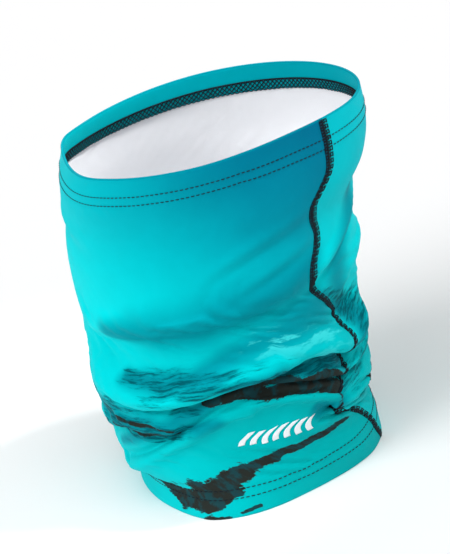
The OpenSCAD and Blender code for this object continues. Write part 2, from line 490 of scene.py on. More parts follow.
def settle(cloth):
    """Runs a short cloth simulation on the gathered cloth, and moves the cloth by what it does."""
    rows = np.append(np.arange(0, len(cloth.rows) - 1, 2), len(cloth.rows) - 1)
    columns = np.arange(0, len(cloth.angles), 2)
    start = cloth.points[rows][:, columns]
    sheet = settle_sheet(start, cloth.rows[rows])
    modifier = sheet.modifiers.new("settle", "CLOTH")
    for name, value in FABRIC.items():
        setattr(modifier.settings, name, value)
    modifier.settings.effector_weights.gravity = SETTLE_GRAVITY
    modifier.collision_settings.use_collision = False
    modifier.collision_settings.use_self_collision = True
    modifier.collision_settings.self_distance_min = SETTLE_APART
    modifier.point_cache.frame_end = SETTLE_STEPS + 1
    for step in range(1, SETTLE_STEPS + 2):
        bpy.context.scene.frame_set(step)
    settled = sheet.evaluated_get(bpy.context.evaluated_depsgraph_get())
    found = np.zeros(start.size, np.float32)
    settled.data.vertices.foreach_get("co", found)
    moved = found.reshape(start.shape) / MM - start
    bpy.data.objects.remove(sheet)
    bpy.context.scene.frame_set(1)
    between = (moved + np.roll(moved, -1, axis=1)) / 2
    wide = np.stack([moved, between], axis=2).reshape(len(rows), -1, 3)
    place = np.interp(cloth.rows, cloth.rows[rows], np.arange(len(rows)))
    upper = np.clip(place.astype(int), 0, len(rows) - 2)
    share = (place - upper)[:, None, None]
    cloth.points = cloth.points + wide[upper] * (1 - share) + wide[upper + 1] * share
    cloth.measure()


MADE = {}


def gathered_cloth():
    """The cloth that every piece is sewn to, worked out once."""
    if "cloth" not in MADE:
        MADE["cloth"] = Cloth(bpy.context.scene.gaiter_cloth)
        settle(MADE["cloth"])
    return MADE["cloth"]


# ---- Meshes ----


def new_piece(name, points, faces, nodes, materials, face_slots=None):
    """A smooth mesh object from points in millimetres, which stands for nodes of the frame."""
    mesh = bpy.data.meshes.new(name)
    mesh.from_pydata((np.asarray(points) * MM).tolist(), [], faces)
    for material in materials:
        mesh.materials.append(material)
    if face_slots is not None:
        mesh.polygons.foreach_set("material_index", face_slots)
    mesh.polygons.foreach_set("use_smooth", [True] * len(mesh.polygons))
    mesh.update()
    if mesh.validate():
        raise RuntimeError(f"{name} has faulty faces")
    piece = new_object(name, mesh)
    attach(piece, "root")
    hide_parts(*nodes)
    return piece


def store(piece, name, values, domain="POINT"):
    """Keeps a number or a vector for every point, or every face corner, of a piece."""
    values = np.asarray(values, np.float32)
    kind, field = ("FLOAT", "value") if values.ndim == 1 else ("FLOAT_VECTOR", "vector")
    made = piece.data.attributes.new(name, kind, domain)
    made.data.foreach_set(field, values.ravel())


# A thread has this many sides, and narrows to this share of its thickness at a free end
SIDES = 6
THREAD_TIP = 0.45


def thread_mesh(strands):
    """Points, faces and thread places of round strands. Each strand is (points, normals, radius,
    closed), where points and normals are arrays of shape (stitches, points along, 3)."""
    points, faces, places = [], [], []
    start = 0
    turn = np.arange(SIDES) * 2 * np.pi / SIDES
    corner = np.arange(SIDES)
    beside = (corner + 1) % SIDES
    for path, normal, radius, closed in strands:
        if closed:
            tangent = unit(np.roll(path, -1, axis=1) - np.roll(path, 1, axis=1))
        else:
            tangent = unit(np.gradient(path, axis=1))
        side = unit(np.cross(tangent, normal))
        up = np.cross(side, tangent)
        stitches, count = path.shape[:2]
        girth = np.ones(count) * radius
        if not closed:
            girth[[0, -1]] = radius * THREAD_TIP
        ring = (side[:, :, None] * np.cos(turn)[None, None, :, None]
                + up[:, :, None] * np.sin(turn)[None, None, :, None])
        ring = path[:, :, None] + ring * girth[None, :, None, None]
        points.append(ring.reshape(-1, 3))
        step = np.linalg.norm(np.diff(path, axis=1), axis=-1)
        place = np.zeros((stitches, count, SIDES, 3))
        place[:, 1:, :, 0] = np.cumsum(step, axis=1)[:, :, None]
        place[..., 1] = turn
        places.append(place.reshape(-1, 3))
        first = start + np.arange(stitches)[:, None, None] * count * SIDES
        link = np.arange(count if closed else count - 1)[:, None]
        a, b = first + link * SIDES, first + (link + 1) % count * SIDES
        sleeve = np.stack([a + corner, a + beside, b + beside, b + corner], axis=-1)
        faces += sleeve.reshape(-1, 4).tolist()
        if not closed:
            end = first[:, 0] + corner
            faces += end[:, ::-1].tolist() + (end + (count - 1) * SIDES).tolist()
        start += stitches * count * SIDES
    return np.concatenate(points), faces, np.concatenate(places)


def thread_piece(name, node, strands):
    """A sewing thread laid on the cloth, which stands for one node of the frame."""
    points, faces, places = thread_mesh(strands)
    piece = new_piece(name, points, faces, [node], [thread_material()])
    store(piece, "thread_place", places)
    return piece


def thread_size(name):
    """A setting of the threads, in millimetres."""
    return getattr(bpy.context.scene.gaiter_thread, name) / MM


# How far a hem stitch stands out, and how far any stitch dives at its ends, in radii
STAND = 0.55
DIVE = 1.9


def dashes(cloth, lengths, angles, radius, stand=STAND):
    """One strand of separate stitches. lengths and angles hold one row of points per stitch, and
    each stitch stands out of the cloth and dives into it at both ends."""
    along = np.linspace(0.0, 1.0, lengths.shape[1])
    lift = radius * (stand - DIVE * np.abs(2 * along - 1.0) ** 3)
    points, normals = cloth.at(lengths, angles, cloth.knit / 2 + lift[None, :])
    return points, normals, radius, False


def line(cloth, lengths, angles, lift, radius, closed=False):
    """One strand of one unbroken thread."""
    points, normals = cloth.at(lengths, angles, lift)
    return points[None], normals[None], radius, closed


# ---- Materials ----


class Graph:
    """Adds nodes to a material or a node group and joins them."""

    def __init__(self, tree):
        self.tree = tree

    def feed(self, node, inputs):
        """Puts values or joined sockets on a node's inputs."""
        for socket, value in inputs.items():
            if isinstance(value, bpy.types.NodeSocket):
                self.tree.links.new(value, node.inputs[socket])
            else:
                node.inputs[socket].default_value = value

    def put(self, kind, inputs=None, **settings):
        """Adds a node, with values or joined sockets on its inputs."""
        node = self.tree.nodes.new(kind)
        node.location = (len(self.tree.nodes) * 180.0 - 2400.0, 0.0)
        for name, value in settings.items():
            setattr(node, name, value)
        self.feed(node, inputs or {})
        return node

    def math(self, operation, *values, clamp=False):
        """A math node's result."""
        inputs = dict(enumerate(values))
        return self.put("ShaderNodeMath", inputs, operation=operation, use_clamp=clamp).outputs[0]

    def times(self, first, second):
        """The product of two values."""
        return self.math("MULTIPLY", first, second)

    def scaled(self, value, by, plus):
        """A value times a factor, plus another value."""
        return self.math("MULTIPLY_ADD", value, by, plus)

    def step(self, value, low, high):
        """Smooth step of a value from 0 at low to 1 at high."""
        inputs = {"Value": value, "From Min": low, "From Max": high}
        return self.put("ShaderNodeMapRange", inputs, interpolation_type="SMOOTHSTEP").outputs[0]

    def mix(self, share, first, second):
        """A mix of two colours, each a socket or red, green and blue."""
        first, second = [c if isinstance(c, bpy.types.NodeSocket) else (*c, 1.0)
                         for c in (first, second)]
        inputs = {0: share, 6: first, 7: second}
        return self.put("ShaderNodeMix", inputs, data_type="RGBA").outputs[2]

    def curve(self, value, points):
        """A value run through smooth steps given as (place, height)."""
        node = self.put("ShaderNodeValToRGB", {0: value})
        elements = node.color_ramp.elements
        node.color_ramp.interpolation = "B_SPLINE"
        elements.remove(elements[1])
        for place, height in points:
            element = elements.new(place) if place > points[0][0] else elements[0]
            element.position = place
            element.color = (height, height, height, 1.0)
        return node.outputs[0]

    def noise(self, vector, scale, detail, roughness=0.55, stretch=(1.0, 1.0, 1.0)):
        """Noise from 0 to 1, stretched along the vector's own directions."""
        place = self.put("ShaderNodeVectorMath", {0: vector, 1: stretch}, operation="MULTIPLY")
        inputs = {"Vector": place.outputs[0], "Scale": scale, "Detail": detail,
                  "Roughness": roughness}
        return self.put("ShaderNodeTexNoise", inputs).outputs["Fac"]

    def bump(self, height, strength, distance):
        """Normals of a relief."""
        inputs = {"Height": height, "Strength": strength, "Distance": distance}
        return self.put("ShaderNodeBump", inputs).outputs["Normal"]

    def attribute(self, name, output="Vector"):
        """A vector or number that the mesh keeps."""
        return self.put("ShaderNodeAttribute", attribute_name=name).outputs[output]

    def split(self, vector):
        """The parts of a vector along X, Y and Z."""
        return self.put("ShaderNodeSeparateXYZ", {0: vector}).outputs

    def dimmed(self, colour, factor):
        """A colour times a factor."""
        inputs = {0: colour, "Scale": factor}
        return self.put("ShaderNodeVectorMath", inputs, operation="SCALE").outputs[0]

    def drifting(self, colour, place, scale, amount):
        """A colour with the tone drift on it."""
        inputs = {"Colour": colour, "Place": place, "Scale": scale, "Amount": amount}
        return self.put("ShaderNodeGroup", inputs, node_tree=tone_drift()).outputs["Colour"]


def made_group(name, inputs, outputs, build):
    """The node group of that name, built at its first use. Sockets are (name, kind)."""
    if name not in MADE:
        tree = MADE[name] = bpy.data.node_groups.new(name, "ShaderNodeTree")
        for way, sockets in (("INPUT", inputs), ("OUTPUT", outputs)):
            for socket, kind in sockets:
                tree.interface.new_socket(name=socket, in_out=way, socket_type="NodeSocket" + kind)
        graph = Graph(tree)
        given, result = graph.put("NodeGroupInput"), graph.put("NodeGroupOutput")
        graph.feed(result, build(graph, given.outputs))
    return MADE[name]


def made_material(name, build):
    """The material of that name, built at its first use. build gives the shader's inputs."""
    if name not in MADE:
        material = MADE[name] = bpy.data.materials.new(name)
        material.use_nodes = True
        graph = Graph(material.node_tree)
        graph.feed(graph.tree.nodes["Principled BSDF"], build(graph))
    return MADE[name]


# The knit's loops: rows of loops per column's width, how far a loop's legs slant, how steep the
# valleys between columns are, and how much darker the deepest places are
COURSES_PER_WALE = 1.35
LEG_SLANT = 0.62
VALLEY_POWER = 5.0
LOOP_SHADE = 0.16


def knit_relief():
    """Node group: rows of knit loops. Height for a bump, and Shade, darker between the loops."""

    def build(graph, given):
        place = graph.split(given["Place"])
        wale = graph.math("DIVIDE", place[0], given["Wale"])
        course = graph.times(graph.math("DIVIDE", place[1], given["Wale"]), COURSES_PER_WALE)
        side = graph.math("ABSOLUTE", graph.scaled(graph.math("FRACT", wale), by=2.0, plus=-1.0))
        phase = graph.times(graph.scaled(side, by=LEG_SLANT, plus=course), 2.0 * math.pi)
        leg = graph.scaled(graph.math("SINE", phase), by=0.5, plus=0.5)
        valley = graph.math("SUBTRACT", 1.0, graph.math("POWER", side, VALLEY_POWER))
        height = graph.times(valley, graph.scaled(leg, by=0.55, plus=0.45))
        return {"Height": height, "Shade": graph.scaled(height, by=LOOP_SHADE, plus=0.86)}

    return made_group("Knit relief", [("Place", "Vector"), ("Wale", "Float")],
                      [("Height", "Float"), ("Shade", "Float")], build)


def tone_drift():
    """Node group: a colour that drifts a little lighter and darker over the surface."""

    def build(graph, given):
        inputs = {"Vector": given["Place"], "Scale": given["Scale"], "Detail": 3.0}
        drift = graph.put("ShaderNodeTexNoise", inputs).outputs["Fac"]
        away = graph.math("SUBTRACT", drift, 0.5)
        factor = graph.scaled(away, by=given["Amount"], plus=1.0)
        return {"Colour": graph.dimmed(given["Colour"], factor)}

    return made_group("Tone drift", [("Colour", "Color"), ("Place", "Vector"), ("Scale", "Float"),
                                     ("Amount", "Float")], [("Colour", "Color")], build)


def knit_finish(graph, place, colour, drift, bump):
    """What a fabric's shader needs for a colour with the loops of the knit in it."""
    wale = bpy.context.scene.gaiter_cloth.wale
    inputs = {"Place": place, "Wale": wale}
    relief = graph.put("ShaderNodeGroup", inputs, node_tree=knit_relief()).outputs
    tone = graph.drifting(colour, place, scale=90.0, amount=drift)
    return {
        "Base Color": graph.dimmed(tone, relief["Shade"]),
        "Roughness": graph.scaled(relief["Height"], by=-0.14, plus=0.78),
        "Normal": graph.bump(relief["Height"], bump, wale * 0.35),
    }


# The print's colours change round the panel, from the seam's right side (0) to its left (1), and
# down it, from the rim (0) to the foot (1): how deep the sky's blue is round the panel, how far
# down it reaches there, how it fades on the way, and how the slope rises at the foot
SKY_DEPTH = [(0.0, 0.36), (0.12, 0.44), (0.36, 0.70), (0.56, 0.14), (0.68, 0.34), (0.80, 0.64),
             (0.88, 0.92), (0.95, 1.0), (1.0, 1.0)]
SKY_REACH = [(0.0, 0.50), (0.2, 0.55), (0.5, 0.5), (0.68, 0.34), (0.78, 0.42), (0.88, 0.58),
             (0.96, 0.68), (1.0, 0.74)]
SKY_FALL = [(0.0, 1.0), (0.25, 0.82), (0.5, 0.45), (0.75, 0.14), (1.0, 0.0)]
SLOPE_RISE = [(0.0, 0.0), (0.36, 0.0), (0.5, 0.45), (0.62, 0.4), (0.72, 0.85), (1.0, 1.0)]
SLOPE_ROUND = [(0.0, 0.5), (0.1, 0.8), (0.5, 0.8), (0.66, 0.25), (0.76, 0.45), (0.86, 0.95),
               (1.0, 1.0)]
# Painted shade along the rim's fold: it is darker by a share, full at the first distance from it,
# gone at the second
LIP_SHADE_SHARE = 0.7
LIP_SHADE_REACH = (0.2 * MM, 1.4 * MM)
# How strongly the haze reaches into the slope, how strong the shade, the snow and the grain of
# the rock are, and the least of a stroke that shows
SLOPE_HAZE = 1.4
SHADE_SHARE = 0.74
SNOW_SHARE = 0.75
GRAIN_SHARE = 0.42
STROKE_START = 0.02


def sky_colour(graph, place):
    """The print's sky: deep at the top of the panel and bright lower down, with painted shade along
    the rim's fold.
    """
    colours = bpy.context.scene.gaiter_print
    parts = graph.split(place)
    around = graph.math("DIVIDE", parts[0], bpy.context.scene.gaiter_cloth.girth)
    down = graph.math("DIVIDE", parts[1], PANEL_LENGTH * MM)
    reach = graph.curve(around, SKY_REACH)
    fall = graph.curve(graph.math("DIVIDE", down, reach, clamp=True), SKY_FALL)
    depth = graph.times(fall, graph.curve(around, SKY_DEPTH))
    haze = graph.scaled(graph.noise(place, scale=14.0, detail=2.0), by=0.16, plus=-0.08)
    depth = graph.math("ADD", depth, haze, clamp=True)
    sky = graph.mix(depth, colours.sky_light, colours.sky_deep)
    foot = graph.times(graph.curve(down, SLOPE_RISE), graph.curve(around, SLOPE_ROUND))
    foot = graph.math("ADD", foot, graph.times(haze, SLOPE_HAZE), clamp=True)
    sky = graph.mix(foot, sky, colours.slope)
    # Painted shade along the rim's fold, in the shade colour
    lip = graph.step(graph.math("ABSOLUTE", parts[1]), LIP_SHADE_REACH[1], LIP_SHADE_REACH[0])
    return graph.mix(graph.times(lip, LIP_SHADE_SHARE), sky, colours.shade)


def torn_mask(graph, kind, noise, tear, edge, clear):
    """Where a kind of stroke shows: its edge is torn by a noise, by an amount (by, plus), and
    nothing shows well away from the stroke."""
    field = graph.attribute(kind, "Fac")
    torn = graph.math("ADD", field, graph.scaled(noise, *tear))
    return graph.times(graph.step(torn, *edge), graph.step(field, STROKE_START, clear))


def mountain_colour(graph, place, sky):
    """Painted shade in the folds, partly the print's cloud bands, then far slopes in streaks, pale
    strokes along them, and ragged near rock, over the sky.
    """
    colours = bpy.context.scene.gaiter_print
    # Shade bands: painted shade in the hollows of the folds, partly the print's cloud bands
    shade = graph.step(graph.attribute("shade", "Fac"), 0.08, 0.95)
    colour = graph.mix(graph.times(shade, SHADE_SHARE), sky, colours.shade)
    streaks = graph.noise(place, scale=34.0, detail=9.0, roughness=0.70, stretch=(1.0, 4.6, 1.0))
    ridge = torn_mask(graph, "ridge", streaks, tear=(3.4, -1.78), edge=(0.28, 0.78), clear=0.2)
    strands = graph.noise(place, scale=95.0, detail=6.0, roughness=0.66, stretch=(1.0, 6.5, 1.0))
    strands = graph.scaled(graph.step(strands, 0.43, 0.57), by=0.60, plus=0.36)
    colour = graph.mix(graph.times(ridge, strands), colour, colours.ridge)
    strokes = graph.noise(place, scale=55.0, detail=5.0, roughness=0.6, stretch=(1.0, 2.4, 1.0))
    snow = graph.times(graph.attribute("snow", "Fac"), graph.step(strokes, 0.50, 0.60))
    colour = graph.mix(graph.times(snow, SNOW_SHARE), colour, colours.snow)
    ragged = graph.noise(place, scale=75.0, detail=8.0, roughness=0.66, stretch=(1.0, 1.5, 1.0))
    rock = torn_mask(graph, "rock", ragged, tear=(1.6, -0.82), edge=(0.47, 0.55), clear=0.1)
    grain = graph.noise(place, scale=90.0, detail=6.0, roughness=0.62, stretch=(1.6, 1.0, 1.0))
    grain = graph.times(graph.step(grain, 0.46, 0.60), GRAIN_SHARE)
    return graph.mix(rock, colour, graph.mix(grain, colours.rock, colours.ridge))


def plain(graph, colour):
    """One even colour."""
    node = graph.put("ShaderNodeRGB")
    node.outputs[0].default_value = (*colour, 1.0)
    return node.outputs[0]


def printed_material():
    """Outside of the knit: the print, with the loops of the knit in it."""

    def build(graph):
        place = graph.attribute("panel_place")
        colour = mountain_colour(graph, place, sky_colour(graph, place))
        return knit_finish(graph, place, colour, drift=0.10, bump=0.30) | {
            "Specular IOR Level": 0.10,
            "Specular Tint": (0.05, 0.80, 0.95, 1.0),
            "Sheen Weight": 0.03,
            "Sheen Roughness": 0.45,
            "Sheen Tint": (0.02, 0.80, 0.95, 1.0),
        }

    return made_material("printed knit", build)


def inside_material():
    """Inside of the knit, unprinted white."""

    def build(graph):
        place = graph.attribute("panel_place")
        white = plain(graph, bpy.context.scene.gaiter_print.inside)
        return knit_finish(graph, place, white, drift=0.05, bump=0.35) | {
            "Specular IOR Level": 0.2,
            "Sheen Weight": 0.15,
            "Sheen Roughness": 0.5,
        }

    return made_material("white knit", build)


# Length of one turn of the thread's plies, in millimetres, and the depth of the groove between
# them. The film's beads per metre, and how far they stand out.
PLY_TURN = 0.55
PLY_GROOVE = 0.08 * MM
BEADS = 5200.0
BEAD_RELIEF = 0.03 * MM


def thread_material():
    """Twisted polyester sewing thread, with painted shade in the grooves between its plies and
    painted highlight on their crests.
    """

    def build(graph):
        place = graph.attribute("thread_place")
        parts = graph.split(place)
        turns = graph.scaled(parts[0], by=2.0 * math.pi / PLY_TURN, plus=parts[1])
        ply = graph.scaled(graph.math("SINE", turns), by=0.5, plus=0.5)
        # Painted shade in the grooves between the plies and painted highlight on their crests
        dark, pale = [[share * c for c in bpy.context.scene.gaiter_thread.colour]
                      for share in (0.6, 1.9)]
        return {
            "Base Color": graph.drifting(graph.mix(ply, dark, pale), place, scale=0.2, amount=0.5),
            "Roughness": graph.scaled(ply, by=-0.15, plus=0.62),
            "Normal": graph.bump(ply, 0.5, PLY_GROOVE),
            "Specular IOR Level": 0.12,
        }

    return made_material("twisted thread", build)


def reflective_material():
    """Silver-white retroreflective film, with its fine glass beads."""

    def build(graph):
        place = graph.put("ShaderNodeTexCoord").outputs["Object"]
        beads = graph.put("ShaderNodeTexVoronoi", {"Vector": place, "Scale": BEADS})
        grain = graph.step(beads.outputs["Distance"], 0.0, 0.7)
        film = graph.mix(grain, (0.93, 0.95, 0.96), (0.78, 0.82, 0.85))
        return {
            "Base Color": graph.drifting(film, place, scale=300.0, amount=0.08),
            "Roughness": graph.scaled(grain, by=0.2, plus=0.34),
            "Normal": graph.bump(grain, 0.25, BEAD_RELIEF),
            "Metallic": 0.15,
        }

    return made_material("beaded film", build)


def floor_material():
    """Plain pale studio floor."""

    def build(graph):
        place = graph.put("ShaderNodeTexCoord").outputs["Object"]
        pale = plain(graph, bpy.context.scene.gaiter_stage.floor)
        return {
            "Base Color": graph.drifting(pale, place, scale=2.0, amount=0.02),
            "Roughness": 0.9,
            "Specular IOR Level": 0.1,
        }

    return made_material("pale floor", build)


# ---- The knit panel ----

# The print's shapes on the panel, with painted shade and painted shadow in the folds among them.
# Each is a stroke of (angle, length down the cloth, half width).
PRINT_STROKES = {
    "rock": [
        [(-55, 246, 4), (-44, 249, 8), (-32, 248, 10), (-22, 240, 7), (-10, 231, 4.6),
         (6, 227, 3.2), (22, 228, 2.8), (38, 230, 2)],
        [(-17, 174, 2.5), (-4, 175, 5), (8, 180, 7), (20, 187, 7.5), (32, 193, 7), (42, 199, 6)],
        [(-32, 262, 1.8), (-25, 261, 1.4)],
        [(-21, 259, 1.0), (-15, 257, 1.2)],
        # Painted shadow: this thin stroke in the rock's colour lines the deep pocket under the roll
        [(-14, 168, 1.2), (0, 168, 3.0), (14, 173, 4.0), (28, 178, 4.4), (42, 183, 4)],
        [(-72, 182, 0.8), (-54, 185, 1.3), (-40, 187, 1.1), (-31, 190, 0.8)],
        [(-72, 190, 0.9), (-52, 192, 1.4), (-38, 193, 1.4), (-30, 194, 0.9)],
        [(-68, 198, 0.9), (-52, 200, 1.3), (-38, 199, 1.0)],
        [(-172, 236, 3), (-150, 222, 7), (-134, 229, 10), (-118, 214, 6), (-100, 220, 3)],
        [(-152, 240, 5), (-128, 238, 8), (-104, 246, 3)],
        [(60, 226, 2), (82, 214, 5), (104, 219, 8), (126, 207, 6), (148, 222, 10), (172, 231, 4)],
        [(96, 240, 3), (118, 233, 7), (140, 241, 4)],
    ],
    "ridge": [
        [(-48, 143, 5), (-36, 146, 9), (-26, 148, 9), (-14, 152, 8), (-4, 155, 7), (8, 158, 8),
         (20, 163, 9), (32, 167, 10), (43, 166, 8)],
        [(-8, 168, 6), (5, 171, 10), (20, 178, 12), (35, 184, 12), (46, 188, 9)],
        [(-74, 186, 10), (-56, 190, 14), (-44, 193, 13), (-30, 196, 7)],
        [(-28, 178, 4), (-21, 180, 3)],
        [(50, 116, 5), (55, 132, 9), (63, 148, 12), (76, 156, 13), (95, 152, 12)],
        [(96, 160, 12), (130, 150, 15), (180, 157, 14)],
        [(-180, 157, 14), (-140, 163, 14), (-100, 170, 10), (-80, 178, 8)],
        [(50, 196, 9), (70, 190, 10), (92, 186, 10)],
    ],
    # Painted shade in the folds: under the waist crease, above the ledge, in the pockets, in the
    # dimple and the hollow at the panel's right, and on the bulge beside the seam; some of it also
    # stands for the print's cloud bands
    "shade": [
        [(-54, 108, 6), (-34, 108, 14), (-13, 109, 18), (4, 103, 18), (20, 97, 16), (34, 91, 13),
         (43, 84, 8)],
        [(-22, 142, 5), (-8, 136, 9), (6, 131, 9), (22, 124, 14), (32, 119, 14), (43, 112, 10)],
        [(78, 56, 4), (75, 70, 8), (69, 82, 9), (63, 94, 9), (60, 106, 9), (56, 116, 7)],
        [(-68, 215, 3), (-52, 202, 5), (-38, 190, 6), (-27, 183, 6), (-19, 177, 5), (-12, 172, 4)],
        [(-27, 188, 3), (-21, 194, 7), (-14, 193, 4)],
        [(27, 208, 3), (36, 212, 6), (45, 208, 8)],
        [(-78, 186, 7), (-60, 188, 12), (-44, 190, 12), (-30, 193, 7)],
        [(-50, 142, 5), (-34, 144, 8), (-14, 146, 8)],
        [(-8, 158, 5), (8, 160, 9), (24, 166, 10), (40, 170, 9)],
        [(47, 124, 5), (54, 136, 9), (58, 147, 9), (52, 158, 6)],
    ],
    "snow": [
        [(3, 134, 5), (14, 132, 8), (26, 137, 8), (37, 142, 5)],
        [(20, 152, 5), (34, 156, 6), (44, 156, 4)],
        [(66, 160, 8), (96, 164, 9)],
        [(-160, 172, 8), (-120, 178, 9)],
    ],
}


def stroke_field(path, angles, lengths, per_degree):
    """1 along a stroke, 0.5 at its edge and 0 well outside it."""
    across, down = np.broadcast_arrays(angles * per_degree, lengths)
    best = np.zeros(across.shape)
    for (a0, s0, w0), (a1, s1, w1) in zip(path, path[1:]):
        x0, x1 = a0 * per_degree, a1 * per_degree
        dx, dy = x1 - x0, s1 - s0
        t = np.clip(((across - x0) * dx + (down - s0) * dy) / (dx * dx + dy * dy), 0.0, 1.0)
        gap = np.hypot(across - x0 - t * dx, down - s0 - t * dy)
        best = np.maximum(best, 1.0 - 0.5 * gap / (w0 + t * (w1 - w0)))
    return np.clip(best, 0.0, 1.0)


def print_field(kind, angles, lengths, per_degree):
    """The strongest of a kind of stroke at points of the panel."""
    return np.maximum.reduce([stroke_field(path, signed(angles), lengths, per_degree)
                              for path in PRINT_STROKES[kind]])


# A hem's fold: its radius in thicknesses of the knit, and the places round it, in degrees. The
# turned-in part has this many layers, which start at the cut edge and stop this far from the fold.
HEM_GAP = 0.55
FOLD_TURNS = (30, 60, 90, 120, 150)
HEM_LAYERS = 11
HEM_STOP = 1.2


def fold_layers(cloth, gap, row, over, length):
    """Layers round the fold of one hem, from the outside in."""
    point, normal = cloth.points[row], cloth.normals[row]
    over = np.array([0.0, 0.0, over])
    for turn in np.radians(FOLD_TURNS):
        facing = normal * math.cos(turn) + over * math.sin(turn)
        inset = over * (gap + cloth.knit / 2)
        yield point - normal * gap + facing * gap - inset, facing, length


def panel_layers(cloth):
    """The panel's middle, from the turned-in top hem's cut edge over both folds to the other cut
    edge, as (points, normals of the printed side, length down the cloth)."""
    gap = cloth.knit * HEM_GAP
    hem = np.linspace(HEM_DEPTH, HEM_STOP, HEM_LAYERS)
    last = cloth.rows[-1]

    def turned_in(length, place):
        point, normal = cloth.at(length, cloth.angles)
        return point - normal * 2 * gap, -normal, place

    layers = [turned_in(length, -length) for length in hem]
    layers += list(fold_layers(cloth, gap, 0, 1.0, 0.0))[::-1]
    layers += [(cloth.points[i], cloth.normals[i], cloth.rows[i])
               for i in range(1, len(cloth.rows) - 1)]
    layers += fold_layers(cloth, gap, -1, -1.0, last)
    layers += [turned_in(last - length, last + length) for length in hem[::-1]]
    return layers


def panel_faces(count, columns):
    """Faces of both sides and of the two cut edges, their material slots, and the column that
    each of them starts at."""
    row, column = np.meshgrid(np.arange(count - 1), np.arange(columns), indexing="ij")
    row, column = row.ravel(), column.ravel()
    beside = (column + 1) % columns
    a, b = row * columns + column, (row + 1) * columns + column
    c, d = (row + 1) * columns + beside, row * columns + beside
    half = count * columns
    printed = np.stack([a, b, c, d], axis=1)
    white = np.stack([a, d, c, b], axis=1) + half
    ring = np.arange(columns)
    after = (ring + 1) % columns
    end = (count - 1) * columns
    top_edge = np.stack([ring, after, half + after, half + ring], axis=1)
    low_edge = np.stack([end + ring, half + end + ring, half + end + after, end + after], axis=1)
    faces = np.concatenate([printed, white, top_edge, low_edge])
    slots = (np.arange(len(faces)) >= len(printed)).astype(int)
    return faces, slots, np.concatenate([column, column, ring, ring])


def build_panel(cloth):
    """The printed panel as one closed sheet of knit with both hems turned in."""
    girth, columns = bpy.context.scene.gaiter_cloth.girth, len(cloth.angles)
    layers = panel_layers(cloth)
    middle, facing, lengths = [np.array(part) for part in zip(*layers)]
    sides = [middle + facing * cloth.knit / 2, middle - facing * cloth.knit / 2]
    faces, slots, left = panel_faces(len(layers), columns)
    panel = new_piece("knit_panel", np.concatenate(sides).reshape(-1, 3), faces.tolist(),
                      ["tube_panel"], [printed_material(), inside_material()],
                      slots)
    # Where each corner lies on the flat panel, from the seam round and from the rim down
    start = ((cloth.angles - SEAM_ANGLE) % 360.0 / 360.0 * girth)[left][:, None]
    around = start + np.where(faces % columns == left[:, None], 0.0, girth / columns)
    down = lengths[(faces // columns) % len(layers)] * MM
    place = np.stack([around, down, np.zeros_like(down)], axis=-1)
    store(panel, "panel_place", place.reshape(-1, 3), "CORNER")
    for kind in PRINT_STROKES:
        field = print_field(kind, cloth.angles[None, :], lengths[:, None], cloth.per_degree)
        store(panel, kind, np.tile(field.ravel(), 2))


# ---- The sewing ----

# The flatlock side seam: its needle rows and how wide they lie, how far its stitches and its
# cover thread stay from the panel's ends, in millimetres, how much of its pitch a stitch fills,
# and how far it stands out, in radii of its thread
SEAM_ROWS = 4
SEAM_BAND = 5.2
SEAM_CLEAR = 1.0
COVER_CLEAR = 0.6
SEAM_STITCH_SHARE = 0.86
SEAM_NEEDLE_STAND = 1.1
STITCH_POINTS = 6

# The cover thread of the seam, for one stitch: how far it runs across at each turn, out to the
# edge or to just past the middle, and at which share of the stitch it turns there. It rises over
# the middle by a share of its radius.
COVER_EDGE = SEAM_BAND / 2 + 0.35
COVER_TURNS = (-COVER_EDGE, COVER_EDGE, -COVER_EDGE, 0.15)
COVER_PLACES = (0.0, 0.34, 0.62, 0.80)
COVER_STEPS = 5
COVER_RISE = 0.7

# One zigzag of the seam's looper, in seam stitches, and its mesh points
SEAM_LOOPER_PITCH = 1.4
SEAM_LOOPER_POINTS = 10


def seam_needle(cloth, number):
    """One row of straight stitches down the flatlock seam."""
    pitch = 2 * thread_size("seam_stitch")
    across = SEAM_BAND * (number / (SEAM_ROWS - 1) - 0.5)
    starts = np.arange(SEAM_CLEAR, PANEL_LENGTH - pitch, pitch)
    within = np.linspace(0.0, SEAM_STITCH_SHARE * pitch, STITCH_POINTS)
    lengths = starts[:, None] + within[None, :]
    angles = np.full_like(lengths, SEAM_ANGLE + across / cloth.per_degree)
    strand = dashes(cloth, lengths, angles, thread_size("needle") / 2, SEAM_NEEDLE_STAND)
    thread_piece(f"seam_needle_stitches_{number + 1}", f"seam_needle_thread_{number + 1}",
                 [strand])


def seam_cover(cloth):
    """The cover thread on the outside of the seam: it runs to the right edge once for every two
    runs between the left edge and the middle, so that the left half is the denser one."""
    pitch, radius = thread_size("seam_stitch"), thread_size("cover") / 2
    stitches = int((PANEL_LENGTH - SEAM_CLEAR) / pitch)
    whole = (np.arange(stitches)[:, None] + np.array(COVER_PLACES)[None, :]).ravel()
    side = np.tile(COVER_TURNS, stitches)
    fine = np.linspace(0, len(whole) - 1, (len(whole) - 1) * COVER_STEPS + 1)
    lengths = COVER_CLEAR + pitch * np.interp(fine, np.arange(len(whole)), whole)
    across = np.interp(fine, np.arange(len(side)), side)
    over = np.cos(np.pi * across / COVER_EDGE / 2) ** 2
    lift = cloth.knit / 2 + radius * (1.0 + COVER_RISE * over)
    strand = line(cloth, lengths, SEAM_ANGLE + across / cloth.per_degree, lift, radius)
    thread_piece("seam_cover_stitches", "seam_cover_thread", [strand])


